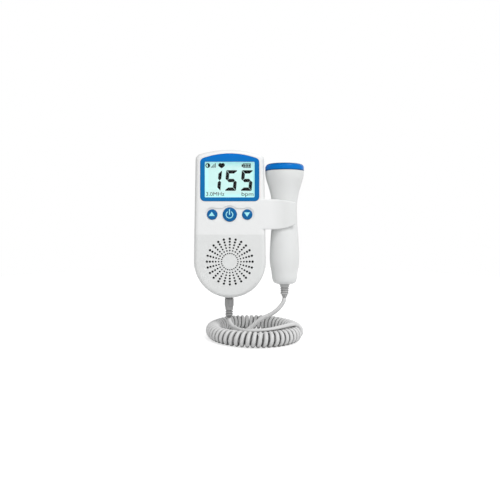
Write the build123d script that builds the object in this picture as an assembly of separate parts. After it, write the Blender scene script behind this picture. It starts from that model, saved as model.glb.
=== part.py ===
from build123d import *
import math
import os

# A hand-held fetal heart monitor: a casing with display, keys and loudspeaker, and a probe on a curly
# cord that parks in a clip at the casing's side. Millimetres. X right, Y back, Z up, and the origin
# lies on the casing's flat back at half its height.

# Fits
slip = 0.15  # gap round anything that slides
seat = 0.1  # gap round anything that is only laid in
tight = 0.05  # gap round a screw or a glued piece

# Battery stack, from the back
wall = 2.2
battery_diameter = 14.2
battery_length = 49.5
battery_nub_radius = 2.7
battery_nub_height = 1.0
battery_round = 0.5
battery_gap = 0.4
bay_floor = 1.5
bay_wall = 1.5
bay_corner = 3.0

# Loudspeaker stack, from the front
speaker_radius = 24.5
speaker_depth = 9.2
speaker_standoff = 3.0
speaker_flange = 3.0
speaker_plate = 1.0
basket_rise = 1.3  # straight wall of the frame behind its flange
basket_step = 0.4
speaker_vent_radius = 8.0
magnet_radius = 12.0
magnet_height = 3.4
cone_gap = 0.6
cone_depth = 2.9
cone_edge = 0.4
cone_set_in = 0.3
cone_slope = 0.9
dust_cap_radius = 2.6
dust_cap_rise = 0.9
coil_tube_radius = 6.4
coil_tube_wall = 0.8
coil_tube_gap = 0.2
stack_gap = 0.4

# Casing front from the crown down: display, keys, loudspeaker
bezel_drop = 3.75
bezel_head = 7.7
window_height = 32.55
bezel_foot = 3.6
key_drop = 12.15
key_rise = 18.85  # keys above the loudspeaker's rim
speaker_lift = 0.6  # loudspeaker above the bowl's centre
bowl_radius = 33.2

# Casing
casing_height = (bezel_drop + bezel_head + window_height + bezel_foot + key_drop
                 + key_rise + speaker_radius + speaker_lift + bowl_radius)
casing_depth = (wall + battery_gap + battery_diameter + battery_gap + bay_floor
                + stack_gap + speaker_depth + speaker_standoff + wall)
side_lean = 0.95  # degrees that each side leans inwards
crown_radius = 100.0
corner_radius = 6.0
front_round = 4.0
rear_round = 4.5
parting_y = -16.5
lip_inset = 1.3
lip_height = 1.5
groove_depth = 0.5
groove_width = 0.7
face_tilt = 2.5  # degrees that the lower face falls back
crease_round = 60.0
crease_rise = 0.75  # crease above the loudspeaker's rim
casing_top = casing_height / 2
bowl_z = bowl_radius - casing_height / 2
speaker_z = bowl_z + speaker_lift
crease_z = speaker_z + speaker_radius + crease_rise
inner_face = wall - casing_depth

# Display
bezel_side = 4.25
bezel_arch = 72.0
bezel_corner = 4.2
bezel_thickness = 1.5
bezel_proud = 0.3
bezel_round = 0.5
bezel_lip = 0.6
window_width = 45.65
window_corner = 0.8
lens_margin = 0.9
lcd_margin = 1.2
lcd_ledge = 2.6
lcd_thickness = 2.2
light_thickness = 2.8
holder_wall = 1.2
holder_floor = 0.9
connector_inset = 2.0
connector_low = 0.3
connector_high = 0.5
bezel_top = casing_top - bezel_drop
window_top = bezel_top - bezel_head
window_low = window_top - window_height
bezel_low = window_low - bezel_foot
bezel_width = window_width + 2 * bezel_side
bezel_front = -casing_depth - bezel_proud
bezel_back = bezel_front + bezel_thickness
lcd_front = inner_face + seat
lcd_back = lcd_front + lcd_thickness
light_back = lcd_back + seat + light_thickness
board_front = light_back + seat + holder_floor

# Keys
key_pitch = 16.1
key_radius = 4.7
power_radius = 6.45
key_proud = 0.5
key_dome = 0.45
key_travel = 0.8
key_flange = 0.9
key_flange_thickness = 1.0
key_stem_radius = 2.2
key_stem_length = 0.8
island_depth = 0.8
island_rim = 1.95
island_waist = 5.8
island_blend = 3.0
switch_size = 6.2
switch_height = 2.4
plunger_radius = 1.6
plunger_sunk = 0.9
key_z = bezel_low - key_drop
keys = {"up": (-key_pitch, key_radius), "power": (0, power_radius), "down": (key_pitch, key_radius)}

# Grille
grille_spokes = 24
grille_rings = 6
grille_inner = 7.6
grille_step = 2.68
grille_hole_small = 1.32
grille_hole_large = 2.24
speaker_front = inner_face + speaker_standoff
rib_wall = 1.7
cloth_thickness = 0.3
cloth_gap = 0.4

# Circuit board and casing screws
board_thickness = 1.6
board_gap = 0.8
board_above_speaker = 3.5
board_back = board_front + board_thickness
board_low = speaker_z + speaker_radius + board_above_speaker
post_radius = 2.0
board_edge = 1.2  # board left round a post
board_screw_radius = 0.9
board_screw_length = 4.0
board_screw_head = 1.8
board_screw_head_height = 1.2
post_x = 20.0
post_top_x = 14.0
boss_radius = 2.6
pillar_radius = 3.4
screw_radius = 1.1
screw_head_radius = 2.2
screw_head_height = 1.5
screw_length = 12.0
screw_bite = 6.0
hole_spare = 1.0  # blind holes are this much deeper than their screws
cross_length = 2.6
cross_width = 0.5
cross_depth = 0.8
screw_fall = 33.5  # degrees below the bowl's centre
screw_step_in = 2.6  # screws beside the keys, further in than the bowl's
crown_boss_drop = 5.4
board_parts = [  # x, height above the keys, width, height, thickness
    (0, 26, 10, 10, 1.4), (-14, 14, 6, 5, 1.2), (12, 12, 8, 5, 1.6), (16, 36, 4, 11, 3.4),
    (-4, 42, 7, 4, 1.2), (13, 22, 5, 4, 1.3), (-12, -3, 6, 5, 1.2), (3, -2, 10, 6, 5.5),
    (-15, 43, 5, 5, 1.8)]

# Probe clip
probe_grip_radius = 12.4
clip_gap = 0.25
clip_wall = 2.0
clip_tip_wall = 1.2
clip_reach = 9.0  # past the probe's axis
clip_top = 22.85
clip_height = 27.8
clip_low_rise = 4.5
clip_top_fall = 2.9
clip_round = 0.9
clip_low_bend_x = 41.0
clip_top_bend_x = 34.0
clip_inner = probe_grip_radius + clip_gap
clip_low = clip_top - clip_height

# Probe
head_radius = 18.3
head_gap = 1.25
head_z = 49.9
ring_height = 6.5
ring_round = 3.5
ring_wall = 1.8
ring_gap = 0.25
shoulder_radius = 15.8
shoulder_z = 37.25
waist_radius = 11.85
waist_z = 15.15
grip_z = -3.45
belly_radius = 13.95
belly_z = -30.95
tail_radius = 12.25
tail_z = -47.75
foot_radius = 6.6
foot_z = -56.35
probe_wall = 2.0
spigot_height = 2.6
spigot_wall = 1.6
ring_lip = 1.7
disc_thickness = 2.6
disc_dome = 0.7
crystal_thickness = 0.7
crystal_radius = 12.5
crystal_gap = 0.8
backing_depth = 7.0
backing_wall = 0.8
backing_round = 1.5
probe_board_width = 15.0
probe_board_length = 56.0
probe_board_thickness = 1.2
probe_board_top = 25.05
probe_board_set_back = 3.9  # behind the probe's axis
pin_radius = 1.3
pin_length = 3.0
pin_boss = 1.0
socket_wall = 1.2
pin_height_high = 32.05
pin_height_low = -42.95
probe_parts = [  # x from the axis, drop below the board's top, width, height, thickness
    (0, 10, 7, 9, 1.4), (-3, 23, 5, 4, 1.2), (3.5, 28, 4, 6, 1.6), (0, 39, 8, 6, 2.0),
    (-3, 49, 4, 4, 3.0)]
lean = math.radians(side_lean)
upper_half = bowl_radius * math.cos(lean) - (head_z + ring_height / 2 - bowl_z) * math.sin(lean)
probe_x = upper_half + head_gap + head_radius
probe_y = -casing_depth + clip_wall + clip_inner

# Battery bay and door
bay_above_bottom = 6.4
contact_plate = 0.4
leaf_depth = 4.6
leaf_thickness = 0.3
leaf_width = 7.0
leaf_bend = 1.0
bay_low = -casing_height / 2 + wall + bay_above_bottom
bay_length = battery_length + battery_nub_height + leaf_depth + contact_plate + battery_gap
bay_top = bay_low + bay_length
bay_half = battery_diameter + 1.5 * battery_gap
battery_y = -wall - battery_gap - battery_diameter / 2
bay_front = battery_y - battery_diameter / 2 - battery_gap
door_thickness = 1.4
door_ledge = 1.3
door_corner = 5.0
door_gap = 0.2
door_short = 2.4  # door ends this far inside the bay's two ends
door_tab_width = 2.8
door_tab_reach = 1.8
door_tab_root = 2.2
door_tab_thickness = 0.9
door_tab_gap = 0.45  # lets the hooks turn out from under the ledge
door_tab_side = 0.7
door_tab_rise = 0.4
door_notch = 7.0
door_notch_lift = 3.85
door_grip_count = 5  # grooves for the thumb, below the notch
door_grip_width = 15.0
door_grip_height = 1.1
door_grip_corner = 0.45
door_grip_depth = 0.6
door_grip_pitch = 2.1
door_grip_drop = 6.2  # from the door's upper edge to the first groove's middle
door_half = bay_half + door_ledge
door_top = bay_top - door_short
door_low = bay_low + door_short

# Headphone socket
jack_z = 39.05
jack_bore = 1.8
jack_barrel = 2.7
jack_length = 12.0
jack_body = 5.8
jack_set_in = 0.36
jack_end = 1.0
jack_y = board_back + jack_body / 2

# Cords and strain reliefs
cord_radius = 1.95
relief_x = -1.2  # the main cord leaves a little left of the casing's centre line
relief_neck = 3.4
relief_flange = 5.2
relief_flange_height = 2.4
relief_gap = 0.3
relief_length = 18.8
relief_radius = 4.3
relief_collar = 1.3  # ring under the casing, with a gap below it
relief_collar_gap = 1.0
relief_body = 6.4
relief_taper_radius = 3.85
relief_tip_radius = 3.6
relief_groove_count = 3
relief_groove_pitch = 2.35
relief_groove_width = 1.0
relief_groove = 0.8
relief_end = -casing_height / 2 - relief_gap - relief_length
probe_relief_length = 12.1
probe_relief_steps = [  # radius and distance below the probe's foot
    (4.85, tight), (4.85, 1.05), (4.15, 2.4), (4.1, 3.3), (3.45, 3.5), (3.45, 4.1), (4.05, 4.3), (4.0, 5.4),
    (3.35, 5.6), (3.35, 6.2), (3.95, 6.4), (3.9, 7.5), (3.25, 7.7), (3.25, 8.3), (3.85, 8.5), (3.85, 9.8),
    (2.7, 9.95), (2.7, 10.5), (2.95, 10.7), (2.6, probe_relief_length)]
probe_relief_end = foot_z - probe_relief_length
coil_radius = 7.0
coil_ring_radius = 39.2
coil_x = 22.7
coil_y = -16.5
floor_z = -107.85
coil_start = -18.0  # degrees, counter-clockwise from above
coil_sweep = 353.0
main_first_run = 3.4
probe_first_run = 3.6
main_route = [
    (relief_x, parting_y, relief_end), (relief_x, parting_y, relief_end - main_first_run),
    (-0.1, -18.9, -94.4), (3.6, -25.2, -96.6), (8.4, -34.5, -96.5), (13.0, -42.0, -96.4),
    (19.5, -47.0, -95.6), (28.0, -48.6, -95.0), (37.5, -47.2, -94.3), (47.5, -41.6, -93.0),
    (56.0, -34.6, -92.4), (60.8, -28.4, -93.1), (62.1, -22.8, -94.9)]
probe_route = [
    (probe_x, probe_y, probe_relief_end), (probe_x, probe_y, probe_relief_end - probe_first_run),
    (48.5, -18.9, -76.9), (43.5, -18.8, -82.2), (37.4, -18.2, -86.2), (30.8, -17.6, -88.9),
    (24.8, -17.2, -93.3), (18.8, -17.0, -98.7), (11.5, -17.2, -103.8), (2.6, -21.2, -105.8),
    (-0.6, -31.0, -105.9), (4.2, -40.2, -105.9), (13.5, -44.6, -105.9), (24.5, -45.6, -105.9),
    (35.5, -43.4, -105.9), (45.0, -38.6, -105.9), (52.0, -34.0, -105.7), (55.3, -32.2, -105.3)]


# ---- helpers ----

def slab(sketch, front, back):
    """A front-view sketch (x, z) made solid between two depths."""
    return extrude(Plane.XZ.offset(-back) * sketch, amount=back - front)


def rod(x, z, radius, front, back):
    return slab(Pos(x, z) * Circle(radius), front, back)


def box(x_pair, y_pair, z_pair):
    size = [pair[1] - pair[0] for pair in (x_pair, y_pair, z_pair)]
    middle = [(pair[0] + pair[1]) / 2 for pair in (x_pair, y_pair, z_pair)]
    return Pos(*middle) * Box(*size)


def plate(low_x, high_x, low_z, high_z, corner, front, back):
    """A rounded rectangle in front view, made solid between two depths."""
    width, height = high_x - low_x, high_z - low_z
    shape = RectangleRounded(width, height, corner)
    return slab(Pos((low_x + high_x) / 2, (low_z + high_z) / 2) * shape, front, back)


def turned(points, x, y):
    """A solid turned about a vertical axis from (radius, z) points."""
    face = Plane.XZ * make_face(Polyline(*points, close=True))
    return Pos(x, y, 0) * revolve(face, Axis.Z)


def turned_back(points, x, z):
    """A solid turned about an axis along Y from (radius, y) points."""
    face = make_face(Polyline(*points, close=True))
    return Pos(x, 0, z) * revolve(face, Axis.Y)


def save(name, *solids):
    shape = solids[0] if len(solids) == 1 else Compound(children=list(solids))
    export_step(shape, f"parts/{name}.step")


# ---- casing ----

def casing_outline(inset):
    """Front view: round bowl below, leaning sides, arched crown."""
    radius = bowl_radius - inset
    low = Vector(radius * math.cos(lean), bowl_z + radius * math.sin(lean))
    high = low + Vector(-math.sin(lean), math.cos(lean)) * casing_height
    bowl = ThreePointArc((-low.X, low.Y), (0, bowl_z - radius), (low.X, low.Y))
    sides = Polyline((low.X, low.Y), (high.X, high.Y), (-high.X, high.Y), (-low.X, low.Y))
    crown = Pos(0, casing_top - crown_radius) * Circle(crown_radius - inset)
    shape = make_face(bowl + sides) & crown
    return fillet(shape.vertices().sort_by(Axis.Y)[-2:], corner_radius - inset)


def casing_side(z):
    """Half the casing's width above the bowl."""
    return bowl_radius * math.cos(lean) - (z - bowl_z) * math.sin(lean)


def tilted_depth(z, inset):
    """Depth of the lower face, inset into the casing, at height z."""
    return inset - casing_depth + (crease_z - z) * math.tan(math.radians(face_tilt))


def casing_block(inset):
    """The casing's outer form, drawn in by an inset all round."""
    front, back = inset - casing_depth, -inset
    body = slab(casing_outline(inset), front, back)
    far = casing_height
    side = Polyline((front, far), (front, crease_z), (tilted_depth(-far, inset), -far),
                    (back, -far), (back, far), close=True)
    profile = make_face(side)
    crease = profile.vertices().sort_by(Axis.X)[:2].sort_by(Axis.Y)[0]
    profile = fillet(crease, crease_round)
    body = body & extrude(Plane.YZ * profile, amount=far, both=True)
    rear_edges = body.edges().group_by(Axis.Y)[-1]
    body = fillet(rear_edges, rear_round - inset)
    front_faces = [face for face in body.faces() if face.normal_at().Y < -0.9]
    counts = {}
    for face in front_faces:
        for edge in face.edges():
            key = tuple(round(value, 3) for value in edge.center())
            counts.setdefault(key, []).append(edge)
    rim = [group[0] for group in counts.values() if len(group) == 1]
    return fillet(rim, front_round - inset)


def half_space(front, back):
    reach = 2 * casing_height
    return box((-reach, reach), (front, back), (-reach, reach))


def clip_block():
    """The probe clip: a U open to the right in plan, trimmed to its front outline."""
    outer = clip_inner + clip_wall
    tip = clip_inner + clip_tip_wall
    root = bowl_radius - front_round - wall
    drop = clip_wall - clip_tip_wall
    bow = (clip_reach ** 2 + drop ** 2) / (2 * drop)
    middle = clip_reach / 2
    sag = outer - bow + math.sqrt(bow ** 2 - middle ** 2)
    front_arm = (Line((root, -outer), (probe_x, -outer))
                 + ThreePointArc((probe_x, -outer), (probe_x + middle, -sag),
                                 (probe_x + clip_reach, -tip))
                 + Line((probe_x + clip_reach, -tip), (probe_x + clip_reach, -clip_inner))
                 + Line((probe_x + clip_reach, -clip_inner), (probe_x, -clip_inner)))
    rear_arm = front_arm.mirror(Plane.XZ)
    pocket = ThreePointArc((probe_x, -clip_inner), (probe_x - clip_inner, 0), (probe_x, clip_inner))
    plan = make_face(front_arm + rear_arm + pocket + Line((root, -outer), (root, outer)))
    solid = extrude(Pos(0, probe_y, clip_low) * plan, amount=clip_height)
    end_x = probe_x + clip_reach
    low_run, top_run = end_x - clip_low_bend_x, end_x - clip_top_bend_x
    low_bow = (low_run ** 2 + clip_low_rise ** 2) / (2 * clip_low_rise)
    top_bow = (top_run ** 2 + clip_top_fall ** 2) / (2 * clip_top_fall)
    low_middle = clip_low + low_bow - math.sqrt(low_bow ** 2 - (low_run / 2) ** 2)
    top_middle = clip_top - top_bow + math.sqrt(top_bow ** 2 - (top_run / 2) ** 2)
    low_end, top_end = clip_low + clip_low_rise, clip_top - clip_top_fall
    front_view = make_face(
        Polyline((clip_low_bend_x, clip_low), (root, clip_low), (root, clip_top), (clip_top_bend_x, clip_top))
        + ThreePointArc((clip_top_bend_x, clip_top), (clip_top_bend_x + top_run / 2, top_middle),
                        (end_x, top_end))
        + Line((end_x, top_end), (end_x, low_end))
        + ThreePointArc((end_x, low_end), (clip_low_bend_x + low_run / 2, low_middle),
                        (clip_low_bend_x, clip_low)))
    return solid & slab(front_view, -2 * casing_depth, casing_depth)


def clip_body():
    solid = clip_block()
    outer = clip_inner + clip_wall
    faces = [face for face in solid.faces()
             if abs(abs(face.center().Y - probe_y) - outer) < clip_wall - clip_tip_wall]
    edges = ShapeList()
    for face in faces:
        for edge in face.edges():
            inside = edge.center().X > bowl_radius - front_round
            upright = abs(edge.tangent_at(0.5).Z) > 0.9
            if inside and not upright:
                edges.append(edge)
    return fillet(edges, clip_round)


def screw_places():
    """Casing screws: one in the crown, two beside the keys, two in the bowl."""
    side = bowl_radius - wall - boss_radius
    fall = math.radians(screw_fall)
    low = (side * math.cos(fall), bowl_z - side * math.sin(fall))
    beside = side - screw_step_in
    return [(0, casing_top - crown_boss_drop), (-beside, key_z), (beside, key_z),
            (-low[0], low[1]), low]


def board_posts():
    low = board_low + post_radius + board_edge
    high = window_top + lcd_margin + holder_wall + post_radius + 2 * seat
    return [(-post_x, low), (post_x, low), (-post_top_x, high), (post_top_x, high)]


def bezel_outline(extra):
    width = bezel_width + 2 * extra
    low, high = bezel_low - extra, bezel_top + extra
    plain = Pos(0, (low + high) / 2) * Rectangle(width, high - low)
    arch = Pos(0, bezel_top - bezel_arch) * Circle(bezel_arch + extra)
    shape = plain & arch
    return fillet(shape.vertices(), bezel_corner + extra)


def window_outline(extra, corner):
    middle = (window_top + window_low) / 2
    return Pos(0, middle) * RectangleRounded(window_width + 2 * extra, window_height + 2 * extra, corner)


def island_outline():
    """The sunk field round the three keys: a lobe for each and a waist between."""
    shape = Pos(0, key_z) * Rectangle(2 * key_pitch, 2 * island_waist)
    for x, radius in keys.values():
        shape += Pos(x, key_z) * Circle(radius + island_rim)
    return fillet(shape.vertices(), island_blend)


def grille_outline():
    holes = Sketch()
    spread = (grille_hole_large - grille_hole_small) / (grille_rings - 1)
    for ring in range(grille_rings):
        reach = grille_inner + ring * grille_step
        hole = Circle((grille_hole_small + ring * spread) / 2)
        for spoke in range(grille_spokes):
            angle = 2 * math.pi * spoke / grille_spokes
            holes += Pos(reach * math.sin(angle), speaker_z + reach * math.cos(angle)) * hole
    return holes


def relief_hole(radius):
    """The hole for the main strain relief, on the parting plane."""
    return Pos(relief_x, parting_y, -casing_height / 2) * Cylinder(radius, 4 * wall)


def front_shell():
    outer = casing_block(0) & half_space(-2 * casing_depth, parting_y)
    outer += casing_block(lip_inset) & half_space(parting_y - 1, parting_y + lip_height)
    outer += clip_body() & half_space(-2 * casing_depth, parting_y)
    inside = casing_block(wall)
    shell = outer - inside
    rib_radius = speaker_radius - seat
    fittings = rod(0, speaker_z, rib_radius, -casing_depth, speaker_front)
    fittings -= rod(0, speaker_z, rib_radius - rib_wall, -casing_depth, speaker_front)
    for x, z in screw_places():
        boss = rod(x, z, boss_radius, -casing_depth, parting_y)
        boss -= rod(x, z, screw_radius + tight, parting_y - screw_bite - hole_spare, parting_y)
        fittings += boss
    for x, z in board_posts():
        post = rod(x, z, post_radius, -casing_depth, board_front)
        depth = board_screw_length + hole_spare
        post -= rod(x, z, board_screw_radius + tight, board_front - depth, board_front)
        fittings += post
    shell += fittings & inside
    shell -= slab(bezel_outline(seat), -2 * casing_depth, bezel_back)
    shell -= slab(window_outline(seat, window_corner), -2 * casing_depth, lcd_front)
    shell -= slab(island_outline(), -2 * casing_depth, island_depth - casing_depth)
    for x, radius in keys.values():
        shell -= rod(x, key_z, radius + slip, -2 * casing_depth, inner_face + wall)
    shell -= slab(grille_outline(), -2 * casing_depth, speaker_front)
    shell -= relief_hole(relief_neck + seat)
    socket = Pos(-bowl_radius, jack_y, jack_z) * Rot(0, 90, 0) * Cylinder(jack_barrel + seat, 4 * wall)
    return shell - socket


def bay_box(grow, low_y, high_y):
    return plate(-bay_half - grow, bay_half + grow, bay_low - grow, bay_top + grow,
                 bay_corner - bay_wall + grow, low_y, high_y)


def rear_shell():
    outer = casing_block(0)
    inside = casing_block(wall)
    rear = half_space(parting_y, casing_depth)
    shell = (outer & rear) + (clip_body() & rear) - inside
    pillars = None
    for x, z in screw_places():
        pillar = rod(x, z, pillar_radius, parting_y + seat, 0)
        pillars = pillar if pillars is None else pillars + pillar
    shell += pillars & outer
    shell += bay_box(bay_wall, bay_front - bay_floor, -wall)
    shell -= bay_box(0, bay_front, -wall)
    shell -= door_recess()
    rebate = casing_block(lip_inset - seat) - casing_block(wall + seat)
    shell -= rebate & half_space(parting_y - 1, parting_y + lip_height + seat)
    groove = outer - casing_block(groove_depth)
    shell -= (groove & half_space(parting_y - 1, parting_y + groove_width)) - clip_block()
    head_seat = parting_y - screw_bite + screw_length
    for x, z in screw_places():
        shell -= rod(x, z, screw_head_radius + slip, head_seat, casing_depth)
        shell -= rod(x, z, screw_radius + seat, -casing_depth, casing_depth)
    shell -= relief_hole(relief_neck + seat)
    return shell


def door_recess():
    """The door's seat in the back wall, and the opening inside its ledge."""
    recess = plate(-door_half - door_gap, door_half + door_gap, door_low - door_gap,
                   door_top + door_gap, door_corner + door_gap, -door_thickness - seat, casing_depth)
    opening = plate(-bay_half, bay_half, door_low + door_ledge, door_top - door_ledge,
                    bay_corner - bay_wall, -wall - 1, casing_depth)
    return recess + opening


# ---- display and keys ----

def screen_bezel():
    frame = slab(bezel_outline(0), bezel_front, bezel_back)
    outer_rim = frame.edges().group_by(Axis.Y)[0]
    frame = fillet(outer_rim, bezel_round)
    frame -= slab(window_outline(0, window_corner), bezel_front, bezel_back)
    return frame - slab(window_outline(lens_margin, window_corner), bezel_front + bezel_lip, bezel_back)


def display_window():
    return slab(window_outline(lens_margin - seat, window_corner), bezel_front + bezel_lip, bezel_back)


def lcd_span(extra):
    half = window_width / 2 + lcd_margin + extra
    return -half, half, window_low - lcd_ledge - extra, window_top + lcd_margin + extra


def lcd_panel():
    low_x, high_x, low_z, high_z = lcd_span(0)
    front_glass = box((low_x, high_x), (lcd_front, lcd_front + lcd_thickness / 2),
                      (low_z + lcd_ledge, high_z))
    rear_glass = box((low_x, high_x), (lcd_front + lcd_thickness / 2, lcd_back), (low_z, high_z))
    return front_glass + rear_glass


def backlight():
    low_x, high_x, low_z, high_z = lcd_span(0)
    return box((low_x, high_x), (lcd_back + seat, light_back), (low_z + lcd_ledge, high_z))


def connector_box(extra):
    low_x, high_x, low_z, high_z = lcd_span(0)
    return box((low_x + connector_inset - extra, high_x - connector_inset + extra), (lcd_back, board_front),
               (low_z + connector_low - extra, low_z + lcd_ledge - connector_high + extra))


def lcd_holder():
    outer = lcd_span(holder_wall)
    inner = lcd_span(seat)
    frame = box(outer[:2], (lcd_front, board_front), outer[2:])
    frame -= box(inner[:2], (lcd_front - 1, light_back + seat), inner[2:])
    return frame - connector_box(seat)


def key_solid(x, radius):
    """One key: domed cap, flange behind the face and a stem that meets the switch."""
    front = -casing_depth - key_proud
    flange_front = inner_face + seat
    flange_back = flange_front + key_flange_thickness
    stem_back = flange_back + key_stem_length
    ball = (radius ** 2 + key_dome ** 2) / (2 * key_dome)
    cap = rod(x, key_z, radius, front, flange_back) & (
        Pos(x, front + ball, key_z) * Sphere(ball))
    cap = fillet(cap.edges().group_by(Axis.Y)[0], key_proud)
    cap += rod(x, key_z, radius + key_flange, flange_front, flange_back)
    return cap + rod(x, key_z, key_stem_radius, flange_back, stem_back)


def plunger_front():
    return inner_face + seat + key_flange_thickness + key_stem_length


def switch_bodies():
    bodies = []
    for x, radius in keys.values():
        half = switch_size / 2
        body = box((x - half, x + half), (board_front - switch_height, board_front),
                   (key_z - half, key_z + half))
        sunk = board_front - switch_height + plunger_sunk + key_travel + seat
        bodies.append(body - rod(x, key_z, plunger_radius + seat, board_front - switch_height, sunk))
    return bodies


def plunger(x):
    return rod(x, key_z, plunger_radius, plunger_front(), board_front - switch_height + plunger_sunk)


# ---- boards ----

def main_board():
    reach = casing_height
    upper = Pos(0, board_low + reach / 2) * Rectangle(4 * bowl_radius, reach)
    shape = casing_outline(wall + board_gap) & upper
    board = slab(shape, board_front, board_back)
    for x, z in screw_places():
        board -= rod(x, z, boss_radius + board_gap, board_front, board_back)
    for x, z in board_posts():
        board -= rod(x, z, board_screw_radius + seat, board_front, board_back)
    return board


def board_chips():
    """Parts on the back of the board."""
    return [box((x - width / 2, x + width / 2), (board_back, board_back + thickness),
                (key_z + rise - height / 2, key_z + rise + height / 2))
            for x, rise, width, height, thickness in board_parts]


def board_screws():
    screws = []
    for x, z in board_posts():
        shank = rod(x, z, board_screw_radius, board_front - board_screw_length, board_back)
        head = rod(x, z, board_screw_head, board_back, board_back + board_screw_head_height)
        screws.append(shank + head)
    return screws


def casing_screws():
    screws = []
    seat_y = parting_y - screw_bite + screw_length
    for x, z in screw_places():
        screw = rod(x, z, screw_radius, seat_y - screw_length, seat_y)
        screw += rod(x, z, screw_head_radius, seat_y, seat_y + screw_head_height)
        for turn in (0, 90):
            slot = Pos(x, seat_y + screw_head_height, z) * Rot(0, turn, 0)
            screw -= slot * Box(cross_length, 2 * cross_depth, cross_width)
        screws.append(screw)
    return screws


def headphone_jack():
    barrel_x = jack_set_in - casing_side(jack_z)
    body_x = -upper_half + wall + board_gap
    half = jack_body / 2
    body = box((body_x, body_x + jack_length), (jack_y - half, jack_y + half),
               (jack_z - half, jack_z + half))
    barrel = Pos((barrel_x + body_x) / 2, jack_y, jack_z) * Rot(0, 90, 0) * Cylinder(
        jack_barrel, body_x - barrel_x)
    bore_end = body_x + jack_length - jack_end
    bore = Pos((barrel_x + bore_end) / 2, jack_y, jack_z) * Rot(0, 90, 0) * Cylinder(
        jack_bore, bore_end - barrel_x)
    return body + barrel - bore


# ---- loudspeaker ----

def speaker_frame():
    back = speaker_front + speaker_depth - magnet_height
    inner = speaker_radius - speaker_flange
    thick = speaker_plate
    rise = speaker_front + thick + basket_rise
    points = [(speaker_radius, speaker_front), (speaker_radius, speaker_front + thick),
              (inner, speaker_front + thick), (inner, rise),
              (magnet_radius + thick, back), (speaker_vent_radius, back),
              (speaker_vent_radius, back - thick), (magnet_radius, back - thick),
              (inner - thick, rise - basket_step), (inner - thick, speaker_front)]
    return turned_back(points, 0, speaker_z)


def speaker_cone():
    """The cone, falling from its rim to the voice coil, with a dust cap rising in the middle."""
    rim = speaker_radius - speaker_flange - speaker_plate - cone_gap
    front = speaker_front + cone_set_in
    back = front + cone_depth
    cap = back - cone_edge - dust_cap_rise
    points = [(rim, front), (rim, front + cone_edge), (coil_tube_radius, back),
              (coil_tube_radius - coil_tube_wall, back), (dust_cap_radius, cap), (0, cap - cone_edge),
              (0, cap - 2 * cone_edge), (dust_cap_radius, cap - cone_edge),
              (coil_tube_radius - coil_tube_wall, back - cone_edge), (rim - cone_slope, front)]
    return turned_back(points, 0, speaker_z)


def voice_coil():
    front = speaker_front + cone_set_in + cone_depth
    back = speaker_front + speaker_depth - magnet_height - speaker_plate - coil_tube_gap
    tube = rod(0, speaker_z, coil_tube_radius, front, back)
    return tube - rod(0, speaker_z, coil_tube_radius - coil_tube_wall, front, back)


def speaker_magnet():
    back = speaker_front + speaker_depth
    return rod(0, speaker_z, magnet_radius, back - magnet_height, back)


def grille_cloth():
    tilt = math.radians(face_tilt)
    origin = (0, tilted_depth(speaker_z, wall) + tight, speaker_z)
    plane = Plane(origin=origin, x_dir=(1, 0, 0), z_dir=(0, math.cos(tilt), math.sin(tilt)))
    radius = speaker_radius - rib_wall - cloth_gap
    return extrude(plane * Circle(radius), amount=cloth_thickness)


# ---- batteries ----

def battery(x, flip):
    """One cell. Its nub points up, or down when flipped."""
    radius = battery_diameter / 2
    low = bay_low + (contact_plate if flip else leaf_depth) + battery_gap / 2
    start = low + (battery_nub_height if flip else 0)
    body = Pos(x, battery_y, start) * Cylinder(radius, battery_length,
                                                align=(Align.CENTER, Align.CENTER, Align.MIN))
    body = fillet(body.edges(), battery_round)
    nub_z = start - battery_nub_height if flip else start + battery_length
    return body + Pos(x, battery_y, nub_z) * Cylinder(
        battery_nub_radius, battery_nub_height, align=(Align.CENTER, Align.CENTER, Align.MIN))


def battery_x():
    return battery_diameter / 2 + battery_gap / 2


def contact_plates():
    """Flat contacts at the two positive ends."""
    half = leaf_width / 2
    x = battery_x()
    high = box((-x - half, -x + half), (battery_y - half, battery_y + half),
               (bay_top - contact_plate, bay_top))
    low = box((x - half, x + half), (battery_y - half, battery_y + half),
              (bay_low, bay_low + contact_plate))
    return [high, low]


def leaf_contacts():
    """Folded leaf springs at the two negative ends."""
    leaves = []
    reach = leaf_width / 2
    tip = leaf_depth
    fold = [(-reach, 0), (reach, 0), (reach, leaf_thickness), (leaf_bend - reach, leaf_thickness),
            (reach - leaf_bend, tip), (reach - leaf_bend - 2 * leaf_thickness, tip),
            (-reach, 2 * leaf_thickness)]
    for x, base, way in ((-battery_x(), bay_low, 1), (battery_x(), bay_top, -1)):
        face = make_face(Polyline(*[(battery_y + y, base + way * z) for y, z in fold], close=True))
        leaves.append(Pos(x, 0, 0) * extrude(Plane.YZ * face, amount=leaf_width / 2, both=True))
    return leaves


def battery_door():
    door = plate(-door_half, door_half, door_low, door_top, door_corner, -door_thickness, 0)
    door -= rod(0, door_top + door_notch_lift, door_notch, -door_thickness / 2, casing_depth)
    for row in range(door_grip_count):
        middle = door_top - door_grip_drop - row * door_grip_pitch
        door -= plate(-door_grip_width / 2, door_grip_width / 2, middle - door_grip_height / 2,
                      middle + door_grip_height / 2, door_grip_corner, -door_grip_depth, casing_depth)
    half = door_tab_width / 2
    hook_back = -wall - door_tab_gap
    hook_front = hook_back - door_tab_thickness
    edge = door_low + door_ledge
    reach = bay_half - half - door_tab_side
    for x in (-reach, reach):
        sides = (x - half, x + half)
        door += box(sides, (hook_front, -door_thickness), (edge + door_tab_rise, edge + door_tab_root))
        door += box(sides, (hook_front, hook_back), (edge - door_tab_reach, edge + door_tab_root))
    return door


# ---- probe ----

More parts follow.
